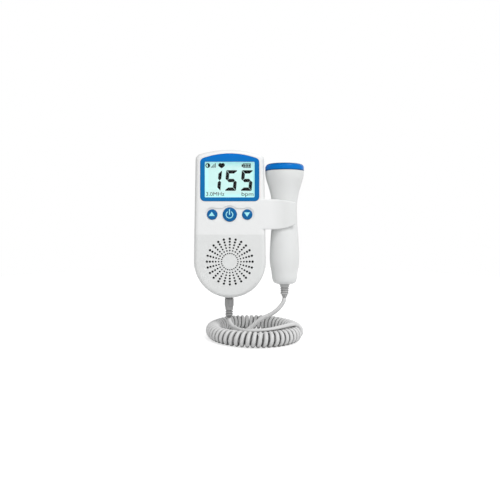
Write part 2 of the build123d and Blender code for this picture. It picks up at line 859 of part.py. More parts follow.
def probe_side(inset):
    """The probe's side from head to foot as (radius, z), drawn in by an inset."""
    down = (0, -1)
    flare = Spline((head_radius - inset, head_z), (shoulder_radius - inset, shoulder_z),
                   (waist_radius - inset, waist_z), tangents=[down, down])
    handle = Spline((waist_radius - inset, waist_z), (probe_grip_radius - inset, grip_z),
                    (belly_radius - inset, belly_z), tangents=[down, down])
    foot = Spline((belly_radius - inset, belly_z), (tail_radius - inset, tail_z),
                  (foot_radius - inset, foot_z + inset), tangents=[down, (-1, 0)])
    return flare + handle + foot


def probe_form(inset):
    closing = Polyline((foot_radius - inset, foot_z + inset), (0, foot_z + inset), (0, head_z),
                       (head_radius - inset, head_z))
    face = Plane.XZ * make_face(probe_side(inset) + closing)
    return Pos(probe_x, probe_y, 0) * revolve(face, Axis.Z)


def upright(radius, low, high):
    return Pos(probe_x, probe_y, low) * Cylinder(radius, high - low,
                                                 align=(Align.CENTER, Align.CENTER, Align.MIN))


def probe_shell():
    """Both halves in one piece, before they are parted."""
    spigot = head_radius - ring_wall - seat
    shell = probe_form(0) + upright(spigot, head_z, head_z + spigot_height)
    shell -= upright(head_radius, head_z - ring_gap, head_z) - upright(spigot, head_z - ring_gap, head_z)
    shell -= probe_form(probe_wall)
    shell -= upright(spigot - spigot_wall, head_z - probe_wall, head_z + spigot_height)
    return shell - upright(relief_neck + seat, foot_z, foot_z + 2 * probe_wall)


def probe_front_shell():
    reach = 2 * casing_height
    shell = probe_shell() & box((0, reach), (-reach, probe_y), (-reach, reach))
    inside = probe_form(probe_wall)
    for z in (pin_height_high, pin_height_low):
        boss = rod(probe_x, z, pin_radius + pin_boss, probe_y - reach, probe_y)
        shell += boss & inside
        shell += rod(probe_x, z, pin_radius, probe_y, probe_y + pin_length)
    return shell


def probe_rear_shell():
    reach = 2 * casing_height
    shell = probe_shell() & box((0, reach), (probe_y, reach), (-reach, reach))
    inside = probe_form(probe_wall)
    for z in (pin_height_high, pin_height_low):
        boss = rod(probe_x, z, pin_radius + socket_wall, probe_y, probe_y + reach)
        socket = rod(probe_x, z, pin_radius + seat, probe_y, probe_y + pin_length + seat)
        shell += (boss & inside) - socket
    return shell


def probe_ring():
    top = head_z + ring_height
    bore = head_radius - ring_wall
    ring = upright(head_radius, head_z, top)
    ring = fillet(ring.edges().group_by(Axis.Z)[-1], ring_round)
    ring -= upright(bore, head_z, head_z + spigot_height + seat)
    return ring - upright(bore - ring_lip, head_z, top)


def acoustic_face():
    """The pale lens that lies on the skin, slightly domed."""
    radius = head_radius - ring_wall - ring_lip - tight
    top = head_z + ring_height
    low = top - disc_thickness
    ball = (radius ** 2 + disc_dome ** 2) / (2 * disc_dome)
    return upright(radius, low, top + disc_dome) & (
        Pos(probe_x, probe_y, top + disc_dome - ball) * Sphere(ball))


def crystal(side):
    """One half-moon piezo plate: side -1 on the left, 1 on the right."""
    top = head_z + ring_height - disc_thickness
    disc = upright(crystal_radius, top - crystal_thickness, top)
    near, far = probe_x + side * crystal_gap / 2, probe_x + side * 2 * crystal_radius
    reach = 2 * casing_height
    return disc & box((min(near, far), max(near, far)), (-reach, reach), (-reach, reach))


def crystal_backing():
    top = head_z + ring_height - disc_thickness - crystal_thickness
    cup = upright(crystal_radius + backing_wall, top - backing_depth, top)
    return fillet(cup.edges().group_by(Axis.Z)[0], backing_round)


def probe_board():
    half = probe_board_width / 2
    front = probe_y + probe_board_set_back
    return box((probe_x - half, probe_x + half), (front, front + probe_board_thickness),
               (probe_board_top - probe_board_length, probe_board_top))


def probe_chips():
    """Parts on the front of the probe's board."""
    front = probe_y + probe_board_set_back
    return [box((probe_x + x - width / 2, probe_x + x + width / 2), (front - thickness, front),
                (probe_board_top - drop - height / 2, probe_board_top - drop + height / 2))
            for x, drop, width, height, thickness in probe_parts]


# ---- strain reliefs and cords ----

def relief(profile, wall_top, x, y):
    """A strain relief from its (radius, z) profile, with a neck through the wall and a flange inside it."""
    top, end = profile[0][1], profile[-1][1]
    inside = [(0, wall_top + relief_flange_height), (relief_flange, wall_top + relief_flange_height),
              (relief_flange, wall_top), (relief_neck, wall_top), (relief_neck, top)]
    return turned(inside + profile + [(0, end)], x, y)


def main_relief():
    """A collar under the casing, a straight body, and a taper with ring grooves."""
    top = -casing_height / 2 - relief_gap
    collar_low = top - relief_collar
    body_top = collar_low - relief_collar_gap
    body_low = body_top - relief_body
    profile = [(relief_radius, top), (relief_radius, collar_low), (relief_neck, collar_low),
               (relief_neck, body_top), (relief_radius, body_top), (relief_radius, body_low),
               (relief_taper_radius, body_low - relief_groove)]
    first = relief_end + relief_groove_pitch * relief_groove_count
    slant = relief_groove_width / 6
    profile.append((relief_tip_radius, first))
    for step in range(relief_groove_count):
        high = first - (step + 0.5) * relief_groove_pitch
        low = high - relief_groove_width
        profile += [(relief_tip_radius, high + slant), (relief_tip_radius - relief_groove, high),
                    (relief_tip_radius - relief_groove, low), (relief_tip_radius, low - slant)]
    profile.append((relief_tip_radius, relief_end))
    floor = bowl_z - math.sqrt((bowl_radius - wall) ** 2 - (relief_flange - relief_x) ** 2)
    return relief(profile, floor + seat, relief_x, parting_y)


def probe_relief():
    """A flared collar, a ribbed body and a narrow tip."""
    profile = [(radius, foot_z - drop) for radius, drop in probe_relief_steps]
    return relief(profile, foot_z + probe_wall + seat, probe_x, probe_y)


def route_line(points, name):
    """Straight runs joined by arcs as large as their runs allow."""
    steps = [Vector(*b) - Vector(*a) for a, b in zip(points, points[1:])]
    radii = []
    for before, after in zip(steps, steps[1:]):
        half_turn = math.radians(before.get_angle(after)) / 2
        radii.append(0.45 * min(before.length, after.length) / math.tan(half_turn))
    print(name, "radii", [round(radius, 1) for radius in radii])
    return FilletPolyline(*points, radius=radii)


def cord_tube(points, name):
    line = route_line(points, name)
    start = Plane(origin=line @ 0, z_dir=line % 0)
    tube = sweep(start * Circle(cord_radius), path=line)
    ideal = math.pi * cord_radius ** 2 * line.length
    print(name, "length", round(line.length, 1), "volume ratio", round(tube.volume / ideal, 4))
    return tube


def cord_coil():
    """The curly stretch, as one fat tube of its outer diameter, laid in a ring."""
    section = Plane.XZ * (Pos(coil_ring_radius, 0) * Circle(coil_radius))
    ring = revolve(section, Axis.Z, revolution_arc=coil_sweep)
    return Pos(coil_x, coil_y, floor_z + coil_radius) * Rot(0, 0, coil_start) * ring


os.makedirs("parts", exist_ok=True)
save("front_shell", front_shell())
save("rear_shell", rear_shell())
save("screen_bezel", screen_bezel())
save("display_window", display_window())
save("lcd_panel", lcd_panel())
save("lcd_backlight", backlight())
save("lcd_holder", lcd_holder())
save("lcd_connector", connector_box(0))
for key, (key_x, key_size) in keys.items():
    save(f"button_{key}", key_solid(key_x, key_size))
    save(f"switch_plunger_{key}", plunger(key_x))
save("switch_bodies", *switch_bodies())
save("main_board", main_board())
save("board_chips", *board_chips())
save("board_screws", *board_screws())
save("casing_screws", *casing_screws())
save("headphone_jack", headphone_jack())
save("speaker_frame", speaker_frame())
save("speaker_cone", speaker_cone())
save("voice_coil", voice_coil())
save("speaker_magnet", speaker_magnet())
save("grille_cloth", grille_cloth())
save("battery_left", battery(-battery_x(), False))
save("battery_right", battery(battery_x(), True))
save("contact_plates", *contact_plates())
save("leaf_contacts", *leaf_contacts())
save("battery_door", battery_door())
save("probe_front_shell", probe_front_shell())
save("probe_rear_shell", probe_rear_shell())
save("probe_ring", probe_ring())
save("acoustic_face", acoustic_face())
save("crystal_transmit", crystal(-1))
save("crystal_receive", crystal(1))
save("crystal_backing", crystal_backing())
save("probe_board", probe_board())
save("probe_chips", *probe_chips())
save("main_strain_relief", main_relief())
save("probe_strain_relief", probe_relief())
save("cord_lead_main", cord_tube(main_route, "main lead"))
save("cord_lead_probe", cord_tube(probe_route, "probe lead"))
save("cord_coil", cord_coil())
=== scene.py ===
import math
import bmesh
import bpy
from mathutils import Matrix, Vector


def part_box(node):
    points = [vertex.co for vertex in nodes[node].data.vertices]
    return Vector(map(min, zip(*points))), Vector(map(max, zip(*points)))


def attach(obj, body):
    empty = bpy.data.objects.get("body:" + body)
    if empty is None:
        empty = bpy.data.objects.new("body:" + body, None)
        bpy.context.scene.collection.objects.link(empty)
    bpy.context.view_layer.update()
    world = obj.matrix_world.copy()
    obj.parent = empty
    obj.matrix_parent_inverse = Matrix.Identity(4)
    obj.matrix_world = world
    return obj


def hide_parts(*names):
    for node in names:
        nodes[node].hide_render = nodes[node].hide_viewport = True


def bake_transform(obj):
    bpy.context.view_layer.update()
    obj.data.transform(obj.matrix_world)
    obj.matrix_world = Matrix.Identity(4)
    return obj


# Fetal heart monitor: white casing with a lit display, probe parked in its clip, curly cord on the floor.
# Metres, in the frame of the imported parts: x right, y back, z up, origin on the casing's flat back.

mm = 0.001
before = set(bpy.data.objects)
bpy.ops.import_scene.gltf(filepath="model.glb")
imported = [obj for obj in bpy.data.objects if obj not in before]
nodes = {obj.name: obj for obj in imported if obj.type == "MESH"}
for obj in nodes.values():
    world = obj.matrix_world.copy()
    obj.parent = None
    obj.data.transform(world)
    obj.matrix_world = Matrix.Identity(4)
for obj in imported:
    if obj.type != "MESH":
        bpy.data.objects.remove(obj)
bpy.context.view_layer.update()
print("frame loaded with", len(nodes), "nodes")


def boxOf(node):
    low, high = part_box(node)
    return Vector(low), Vector(high)


coilLow, coilHigh = boxOf("cord_coil")
floorZ = coilLow.z  # the curl lies on the floor


# Materials. Patterns are in object space, which is the frame's own metres.

def toLinear(hexColour):
    shares = [int(hexColour[i:i + 2], 16) / 255 for i in (1, 3, 5)]
    return tuple(s / 12.92 if s <= 0.04045 else ((s + 0.055) / 1.055) ** 2.4 for s in shares) + (1.0,)


def addNode(tree, kind, inputs=None, **settings):
    node = tree.nodes.new("ShaderNode" + kind)
    for name, value in settings.items():
        setattr(node, name, value)
    for socket, value in (inputs or {}).items():
        if isinstance(value, bpy.types.NodeSocket):
            tree.links.new(value, node.inputs[socket])
        else:
            node.inputs[socket].default_value = value
    return node


def ramp(tree, value, start, end, low=0.0, high=1.0):  # low up to start, rising or falling to high at end
    return addNode(tree, "MapRange", {"Value": value, "From Min": start, "From Max": end,
                                      "To Min": low, "To Max": high}).outputs["Result"]


def mixTone(tree, share, first, second):
    return addNode(tree, "Mix", {0: share, 6: first, 7: second}, data_type="RGBA").outputs[2]


def maths(tree, operation, first, second):
    return addNode(tree, "Math", {0: first, 1: second}, operation=operation).outputs[0]


def splitAxes(tree, vector):
    return addNode(tree, "SeparateXYZ", {"Vector": vector}).outputs


def normalAxes(tree):
    return splitAxes(tree, addNode(tree, "NewGeometry").outputs["Normal"])


black = toLinear("#000000")


def startMaterial(name, constants):
    material = bpy.data.materials.new(name)
    material.use_nodes = True
    tree = material.node_tree
    shader = tree.nodes["Principled BSDF"]
    for socket, value in constants.items():
        shader.inputs[socket].default_value = value
    return material, tree, shader


cloudRange = (0.3, 0.7)  # what the cloud noise mostly keeps to


def finishSurface(tree, shader, look):  # soft tone clouds and a fine moulding grain, in millimetres
    place = addNode(tree, "TexCoord").outputs["Object"]
    cloud = addNode(tree, "TexNoise", {"Vector": place, "Scale": 1 / (look["cloudSize"] * mm),
                                       "Detail": 3.0}).outputs["Fac"]
    tone = mixTone(tree, cloud, toLinear(look["colour"]), toLinear(look["shade"]))
    tree.links.new(tone, shader.inputs["Base Color"])
    rough = ramp(tree, cloud, *cloudRange, look["smooth"], look["rough"])
    tree.links.new(rough, shader.inputs["Roughness"])
    grain = addNode(tree, "TexNoise", {"Vector": place, "Scale": 1 / (look["grainSize"] * mm),
                                       "Detail": 2.0}).outputs["Fac"]
    bump = addNode(tree, "Bump", {"Height": grain, "Strength": 1.0, "Distance": look["grainDepth"] * mm})
    tree.links.new(bump.outputs["Normal"], shader.inputs["Normal"])
    return place, tone


def paintCreviceShade(tree, shader, look):  # painted shade: the colour is darkened where faces lie close together
    tone = shader.inputs["Base Color"].links[0].from_socket
    openness = addNode(tree, "AmbientOcclusion", {"Distance": look["reach"] * mm}, samples=8).outputs["AO"]
    share = ramp(tree, openness, look["closed"], look["open"], 1 - look["depth"], 1.0)
    tree.links.new(mixTone(tree, share, black, tone), shader.inputs["Base Color"])


whiteLook = {"colour": "#eaecec", "shade": "#e6e7e6", "cloudSize": 18, "smooth": 0.34, "rough": 0.42,
             "grainSize": 0.35, "grainDepth": 0.006}
# painted light: the brighter tone and the mask for the front above the step
paintedLightUpperLook = {
    "tone": "#f2f3f3",
    "above": -9.7,  # height of the step in millimetres
    "edge": 0.4,
    "arm": (50, 38),  # fades in from the end of the clip's arm
    "facing": (-0.6, -0.9),
}


def mouldedWhiteAbs(name):  # satin white, with the soft highlights of a fine spark-eroded mould
    material, tree, shader = startMaterial(name, {"IOR": 1.53})
    place, tone = finishSurface(tree, shader, whiteLook)
    return material, tree, shader, place, tone


def paintedLightUpperWhiteAbs():  # painted light: the front round the display and the keys is painted a shade brighter than below the step, where the upper face would catch more light from above
    material, tree, shader, place, tone = mouldedWhiteAbs("paintedLightUpperWhiteAbs")
    spot = splitAxes(tree, place)
    low, high = ((paintedLightUpperLook["above"] + side * paintedLightUpperLook["edge"]) * mm for side in (-1, 1))
    start, end = (across * mm for across in paintedLightUpperLook["arm"])
    upper = maths(tree, "MULTIPLY", ramp(tree, spot[2], low, high), ramp(tree, spot[0], start, end))
    front = ramp(tree, normalAxes(tree)[1], *paintedLightUpperLook["facing"])
    tone = mixTone(tree, maths(tree, "MULTIPLY", upper, front), tone, toLinear(paintedLightUpperLook["tone"]))
    tree.links.new(tone, shader.inputs["Base Color"])
    return material


blueFinish = {"cloudSize": 12, "smooth": 0.16, "rough": 0.24, "grainSize": 1.6, "grainDepth": 0.004}
bezelLook = {
    "colour": "#0078d6",
    "shade": "#0074cc",
    "lowTone": "#0d73b6",
    "rimShadeTone": "#06568c",
    "crown": (54, 62),  # heights in millimetres
    "facing": (-0.2, -0.98),
}
ringLook = {
    "colour": "#0079d6",
    "shade": "#0075cd",
    "ringShadeTone": "#06568c",
    "rising": (0.25, 0.9),
    "foot": (1.3, 0.2),  # millimetres above the lower edge
}


def polishedBlueAbs(name, look):  # saturated blue that mirrors the studio softly
    material, tree, shader = startMaterial(name, {"IOR": 1.53, "Specular IOR Level": 0.1})
    place, tone = finishSurface(tree, shader, {**blueFinish, **look})
    return material, tree, shader, place, tone


def polishedBlueBezel():  # more saturated at the crown, duller lower down; painted shade: the rounded rim is painted deep blue where it turns away from the front
    material, tree, shader, place, tone = polishedBlueAbs("polishedBlueBezel", bezelLook)
    low, high = (height * mm for height in bezelLook["crown"])
    crown = ramp(tree, splitAxes(tree, place)[2], low, high)
    tone = mixTone(tree, crown, toLinear(bezelLook["lowTone"]), tone)
    # painted shade: deep blue where the rim turns away from the front
    flat = ramp(tree, normalAxes(tree)[1], *bezelLook["facing"])
    tree.links.new(mixTone(tree, flat, toLinear(bezelLook["rimShadeTone"]), tone), shader.inputs["Base Color"])
    return material


def polishedBlueRing():  # painted shade: deeper blue along its rounded top and its lower edge
    material, tree, shader, place, tone = polishedBlueAbs("polishedBlueRing", ringLook)
    top = ramp(tree, normalAxes(tree)[2], *ringLook["rising"])
    edge = boxOf("probe_ring")[0].z
    high, low = (edge + rise * mm for rise in ringLook["foot"])
    ringShadeShare = maths(tree, "MAXIMUM", top, ramp(tree, splitAxes(tree, place)[2], high, low))
    tree.links.new(mixTone(tree, ringShadeShare, tone, toLinear(ringLook["ringShadeTone"])), shader.inputs["Base Color"])
    return material


def mouldedBlueKey():  # deeper blue with a satin face
    material, tree, shader = startMaterial("mouldedBlueKey", {"IOR": 1.5, "Specular IOR Level": 0.15})
    finishSurface(tree, shader, {
        "colour": "#1160b4", "shade": "#086a92", "cloudSize": 3, "smooth": 0.28, "rough": 0.36,
        "grainSize": 0.3, "grainDepth": 0.004})
    return material


def paleInk():  # pad-printed symbol, a little milky
    material, tree, shader = startMaterial("paleInk", {"IOR": 1.5})
    finishSurface(tree, shader, {
        "colour": "#b0f6fc", "shade": "#a4f0f8", "cloudSize": 1.5, "smooth": 0.4, "rough": 0.5,
        "grainSize": 0.2, "grainDepth": 0.002})
    return material


rubberCreviceShade = {"reach": 1.6, "depth": 0.8, "closed": 0.0, "open": 1.0}
jacketCreviceShade = {"reach": 3.0, "depth": 0.95, "closed": 0.22, "open": 0.88}


def mouldedGreyRubber(name, colour, shade):  # matt grey that swallows highlights
    material, tree, shader = startMaterial(name, {"IOR": 1.52, "Specular IOR Level": 0.35})
    finishSurface(tree, shader, {
        "colour": colour, "shade": shade, "cloudSize": 4, "smooth": 0.55, "rough": 0.68,
        "grainSize": 0.25, "grainDepth": 0.012})
    # painted shade: the grooves and folds are painted darker
    paintCreviceShade(tree, shader, rubberCreviceShade)
    return material


def extrudedJacket():  # light grey cord jacket, satin with a fine drawn skin
    material, tree, shader = startMaterial("extrudedJacket", {"IOR": 1.5})
    finishSurface(tree, shader, {
        "colour": "#dfdfdf", "shade": "#d7d7d7", "cloudSize": 7, "smooth": 0.42, "rough": 0.54,
        "grainSize": 0.3, "grainDepth": 0.008})
    # painted shade: the gaps between the turns are painted darker
    paintCreviceShade(tree, shader, jacketCreviceShade)
    return material


paneLook = {
    "tone": "#fbfefe",
    "rippleSize": 9,
    "rippleDepth": 0.004,
    "passing": 0.8,  # share of the light that goes straight through
}


def clearAcrylic():  # coated, polished pane: clear, with hardly any mirror of the room
    material, tree, shader = startMaterial("clearAcrylic", {
        "IOR": 1.49, "Specular IOR Level": 0.08, "Transmission Weight": 1.0, "Roughness": 0.02,
        "Base Color": toLinear(paneLook["tone"])})
    place = addNode(tree, "TexCoord").outputs["Object"]
    ripple = addNode(tree, "TexNoise", {"Vector": place, "Scale": 1 / (paneLook["rippleSize"] * mm)})
    bump = addNode(tree, "Bump", {"Height": ripple.outputs["Fac"], "Distance": paneLook["rippleDepth"] * mm})
    tree.links.new(bump.outputs["Normal"], shader.inputs["Normal"])
    shadowRay = addNode(tree, "LightPath").outputs["Is Shadow Ray"]
    passing = maths(tree, "MAXIMUM", shadowRay, paneLook["passing"])
    lets = addNode(tree, "BsdfTransparent").outputs["BSDF"]
    mixed = addNode(tree, "MixShader", {0: passing, 1: shader.outputs["BSDF"], 2: lets})
    tree.links.new(mixed.outputs["Shader"], tree.nodes["Material Output"].inputs["Surface"])
    return material


cellLook = {
    "colour": "#cbefec",
    "shade": "#c6ebe6",
    "cloudSize": 14,
    "smooth": 0.32,
    "rough": 0.4,
    "grainSize": 0.3,
    "grainDepth": 0.001,
    "edgeLightTone": "#b8f8f6",
    "edge": (5, 0.5),  # millimetres in from the window's edge
    "cover": 0.6,  # share of its tone that the cell shows unlit
    "glow": (0.47, 0.57),  # in the middle and at the edge
}


def litCrystalCell():  # pale cyan with its backlight on; painted light: brighter and more cyan round its edges, which lifts the shadow that the bezel and holder cast there
    material, tree, shader = startMaterial("litCrystalCell", {"IOR": 1.5, "Specular IOR Level": 0.2})
    place, tone = finishSurface(tree, shader, cellLook)
    spot = splitAxes(tree, place)
    low, high = boxOf("display_window")
    middle, half = (low + high) / 2, (high - low) / 2
    inner, outer = (inset * mm for inset in cellLook["edge"])
    nearness = []
    for axis in (0, 2):
        away = maths(tree, "ABSOLUTE", maths(tree, "SUBTRACT", spot[axis], middle[axis]), 0.0)
        nearness.append(ramp(tree, away, half[axis] - inner, half[axis] - outer))
    # painted light: the extra glow and cyan tint near the edges
    edge = maths(tree, "MAXIMUM", *nearness)
    tinted = mixTone(tree, edge, tone, toLinear(cellLook["edgeLightTone"]))
    tree.links.new(mixTone(tree, cellLook["cover"], black, tinted), shader.inputs["Base Color"])
    tree.links.new(tinted, shader.inputs["Emission Color"])
    tree.links.new(ramp(tree, edge, 0.0, 1.0, *cellLook["glow"]), shader.inputs["Emission Strength"])
    return material


def crystalInk():  # driven liquid crystal: black, and matt under its polariser
    material, tree, shader = startMaterial("crystalInk", {"IOR": 1.5, "Specular IOR Level": 0.05})
    finishSurface(tree, shader, {
        "colour": "#030405", "shade": "#06080a", "cloudSize": 3, "smooth": 0.5, "rough": 0.6,
        "grainSize": 0.3, "grainDepth": 0.001})
    return material


def castResin():  # pale acoustic lens, waxy and slightly warm
    material, tree, shader = startMaterial("castResin", {
        "IOR": 1.5, "Subsurface Weight": 0.15, "Subsurface Radius": (0.002, 0.0016, 0.001)})
    finishSurface(tree, shader, {
        "colour": "#dddad2", "shade": "#d5d2c9", "cloudSize": 9, "smooth": 0.3, "rough": 0.42,
        "grainSize": 0.6, "grainDepth": 0.005})
    return material


def plainMoulding(name, colour, shade, smooth, rough):  # even satin or matt, for the pieces inside
    material, tree, shader = startMaterial(name, {"IOR": 1.5})
    finishSurface(tree, shader, {"colour": colour, "shade": shade, "cloudSize": 5, "smooth": smooth,
                                 "rough": rough, "grainSize": 0.4, "grainDepth": 0.006})
    return material


def platedMetal(name, colour, shade):  # bright and a little uneven, as plating or drawing leaves it
    material, tree, shader = startMaterial(name, {"Metallic": 1.0})
    finishSurface(tree, shader, {"colour": colour, "shade": shade, "cloudSize": 2, "smooth": 0.26,
                                 "rough": 0.42, "grainSize": 0.2, "grainDepth": 0.004})
    return material


def wovenDustCloth():  # black cloth behind the grille, with a coarse visible thread
    material, tree, shader = startMaterial("wovenDustCloth", {"IOR": 1.45, "Sheen Weight": 0.3})
    finishSurface(tree, shader, {
        "colour": "#2b2b2d", "shade": "#232325", "cloudSize": 3, "smooth": 0.8, "rough": 0.9,
        "grainSize": 0.4, "grainDepth": 0.03})
    return material


white = mouldedWhiteAbs("mouldedWhiteAbs")[0]
frontWhite = paintedLightUpperWhiteAbs()
bezelBlue = polishedBlueBezel()
ringBlue = polishedBlueRing()
keyBlue = mouldedBlueKey()
symbolInk = paleInk()
mainRubber = mouldedGreyRubber("mouldedGreyRubber", "#b2b2b2", "#aaaaaa")
probeRubber = mouldedGreyRubber("mouldedLightRubber", "#cacaca", "#c2c2c2")
jacket = extrudedJacket()
pane = clearAcrylic()
cell = litCrystalCell()
ink = crystalInk()
resin = castResin()
innerPlastic = plainMoulding("mouldedPolystyrene", "#d9d8d2", "#d2d0ca", 0.4, 0.5)
blackPlastic = plainMoulding("mouldedBlackNylon", "#1a1a1b", "#232324", 0.4, 0.5)
solderMask = plainMoulding("solderMask", "#0f5a35", "#0c4e2d", 0.25, 0.35)
steel = platedMetal("zincPlatedSteel", "#c3c4c6", "#b4b5b8")
nickel = platedMetal("nickelPlatedSpring", "#cfcbc2", "#c1bdb4")
ferrite = plainMoulding("groundFerrite", "#3a3a3d", "#303033", 0.45, 0.6)
paper = plainMoulding("blackConePaper", "#1c1c1d", "#262627", 0.8, 0.9)
copper = platedMetal("enamelledCopper", "#b8693f", "#a75c36")
cloth = wovenDustCloth()
sleeve = plainMoulding("printedCellSleeve", "#3c6b45", "#355f3d", 0.25, 0.35)
ceramic = plainMoulding("silveredCeramic", "#c9bfa4", "#bdb398", 0.5, 0.6)
absorber = plainMoulding("corkAbsorber", "#6e5f52", "#5f5146", 0.8, 0.9)
guide = plainMoulding("milkyLightGuide", "#eef6f5", "#e4eeed", 0.3, 0.4)

nodeMaterials = [
    (frontWhite, ["front_shell"]),
    (white, ["rear_shell", "battery_door", "probe_front_shell", "probe_rear_shell"]),
    (bezelBlue, ["screen_bezel"]),
    (ringBlue, ["probe_ring"]),
    (keyBlue, ["button_up", "button_power", "button_down"]),
    (pane, ["display_window"]),
    (cell, ["lcd_panel"]),
    (guide, ["lcd_backlight"]),
    (innerPlastic, ["lcd_holder", "speaker_frame"]),
    (blackPlastic, ["lcd_connector", "switch_bodies", "board_chips", "probe_chips", "headphone_jack",
                    "switch_plunger_up", "switch_plunger_power", "switch_plunger_down"]),
    (solderMask, ["main_board", "probe_board"]),
    (steel, ["casing_screws", "board_screws"]),
    (nickel, ["contact_plates", "leaf_contacts"]),
    (ferrite, ["speaker_magnet"]),
    (paper, ["speaker_cone"]),
    (copper, ["voice_coil"]),
    (cloth, ["grille_cloth"]),
    (sleeve, ["battery_left", "battery_right"]),
    (resin, ["acoustic_face"]),
    (ceramic, ["crystal_transmit", "crystal_receive"]),
    (absorber, ["crystal_backing"]),
    (mainRubber, ["main_strain_relief"]),
    (probeRubber, ["probe_strain_relief"]),
]
for material, names in nodeMaterials:
    for name in names:
        slots = nodes[name].data.materials
        slots.clear()
        slots.append(material)
print("materials given")


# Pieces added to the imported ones

def addPiece(name, mesh, material, body):
    piece = bpy.data.objects.new(name, mesh)
    bpy.context.scene.collection.objects.link(piece)
    mesh.materials.append(material)
    if body:
        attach(piece, body)
    return piece


def nurbsLine(points, perSpan):  # a smooth line that the points pull on
    curve = bpy.data.curves.new("line", "CURVE")
    curve.dimensions = "3D"
    spline = curve.splines.new("NURBS")
    spline.points.add(len(points) - 1)
    for point, place in zip(spline.points, points):
        point.co = (*place, 1)
    spline.order_u = 3
    spline.use_endpoint_u = True
    spline.resolution_u = perSpan
    holder = bpy.data.objects.new("line", curve)
    bpy.context.scene.collection.objects.link(holder)
    bpy.context.view_layer.update()
    mesh = bpy.data.meshes.new_from_object(holder)
    line = [v.co.copy() for v in mesh.vertices]
    bpy.data.objects.remove(holder)
    bpy.data.meshes.remove(mesh)
    return line


def tubeMesh(name, line, radius, sides):  # the ring of sides is carried along the line without twist
    verts, faces = [], []
    side = Vector((1, 0, 0))
    for i, place in enumerate(line):
        ahead = (line[min(i + 1, len(line) - 1)] - line[max(i - 1, 0)]).normalized()
        side = (side - side.dot(ahead) * ahead).normalized()
        up = ahead.cross(side)
        for k in range(sides):
            turn = 2 * math.pi * k / sides
            verts.append(place + radius * (math.cos(turn) * side + math.sin(turn) * up))
    for i in range(len(line) - 1):
        for k in range(sides):
            a, b = i * sides + k, i * sides + (k + 1) % sides
            faces.append((a, b, b + sides, a + sides))
    faces.append(tuple(range(sides - 1, -1, -1)))
    faces.append(tuple(range(len(verts) - sides, len(verts))))
    mesh = bpy.data.meshes.new(name)
    mesh.from_pydata(verts, [], faces)
    mesh.shade_smooth()
    return mesh


# The curly cord

cordLook = {
    "radius": 1.95 * mm,
    "length": 1.85,  # metres of wire from end to end, its turns included
    "pointsPerTurn": 12,
    "turns": 51.14,
    "firstAngle": 115.0,  # degrees above level where the curl takes over from the first lead
    "ringStart": -7.5,  # degrees round the ring, counter-clockwise from above
    "ringEnd": 340.0,
    "skew": 0.07,  # the ring's left side lies further back by this share
    "uneven": 0.01,  # share that the pitch varies by
    "unevenWaves": [(14, 14), (5.2, 9)],  # half waves along the curl, and what each is divided by
    "swell": 0.02,  # share that the turns vary by in size
    "swellWave": 37,  # radians along the curl
    "perSpan": 3,
    "sides": 16,
}
mainRoute = [
    (-1.2, -16.5, -87.55), (-1.2, -16.5, -90.95), (-0.1, -18.9, -94.4), (3.6, -25.2, -96.6),
    (8.4, -34.5, -96.5), (13.0, -42.0, -96.4), (19.5, -47.3, -95.4), (28.0, -49.2, -94.5),
    (37.5, -48.2, -93.7), (47.5, -43.0, -92.4), (56.0, -35.8, -91.8), (60.6, -30.8, -92.5),
    (61.9, -26.8, -94.2)]
probeRoute = [
    (51.28, -18.6, -68.45), (51.28, -18.6, -72.05), (48.5, -18.9, -76.9), (43.5, -18.8, -82.2),
    (37.4, -18.2, -86.2), (30.8, -17.6, -88.9), (24.8, -17.2, -93.3), (18.8, -17.0, -98.7),
    (11.5, -17.2, -103.8), (2.6, -21.2, -105.8), (-0.6, -31.0, -105.9), (4.2, -40.2, -105.9),
    (13.5, -44.6, -105.9), (24.5, -45.6, -105.9), (35.5, -43.4, -105.9), (44.3, -39.8, -105.9),
    (50.0, -35.9, -105.9), (53.5, -32.9, -105.9), (55.3, -31.1, -103.4)]


def curlPoints():
    tube = (coilHigh.z - coilLow.z) / 2
    ring = (coilHigh.x - coilLow.x) / 2 - tube
    centre = (coilHigh + coilLow) / 2
    count = round(cordLook["turns"] * cordLook["pointsPerTurn"])
    # a quadratic spline runs inside its control points by this share on a circle
    shrink = 0.75 + 0.25 * math.cos(2 * math.pi / cordLook["pointsPerTurn"])
    points = []
    for i in range(count + 1):
        share = i / count
        sway = math.sin(2 * math.pi * share) ** 2 * cordLook["uneven"]
        along = share + sway * sum(math.sin(waves * math.pi * share) / part
                                   for waves, part in cordLook["unevenWaves"])
        around = cordLook["ringStart"] + (cordLook["ringEnd"] - cordLook["ringStart"]) * along
        turn = math.radians(cordLook["firstAngle"] + 360 * cordLook["turns"] * share)
        swell = 1 + cordLook["swell"] * math.sin(cordLook["swellWave"] * share) * math.sin(math.pi * share)
        reach = (tube - cordLook["radius"]) * swell
        out = ring + reach / shrink * math.cos(turn)
        height = floorZ + cordLook["radius"] + reach + reach / shrink * math.sin(turn)
        angle = math.radians(around)
        x = out * math.cos(angle)
        points.append((centre.x + x, centre.y + out * math.sin(angle) - cordLook["skew"] * x, height))
    return points


def inMetres(route):
    return [tuple(mm * value for value in point) for point in route]


cordLine = nurbsLine(inMetres(mainRoute) + curlPoints() + inMetres(probeRoute)[::-1], cordLook["perSpan"])
cordLength = sum((b - a).length for a, b in zip(cordLine, cordLine[1:]))
cordMesh = tubeMesh("curlyCord", cordLine, cordLook["radius"], cordLook["sides"])
cord = addPiece("curlyCord", cordMesh, jacket, None)
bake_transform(cord)
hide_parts("cord_lead_main", "cord_coil", "cord_lead_probe")
print("cord laid, metres:", round(cordLength, 3))


# Display: digits, icons and units on the crystal cell

def pushBack(shape, faces, depth):
    made = bmesh.ops.extrude_face_region(shape, geom=faces)
    behind = [item for item in made["geom"] if isinstance(item, bmesh.types.BMVert)]
    bmesh.ops.translate(shape, vec=(0, depth, 0), verts=behind)


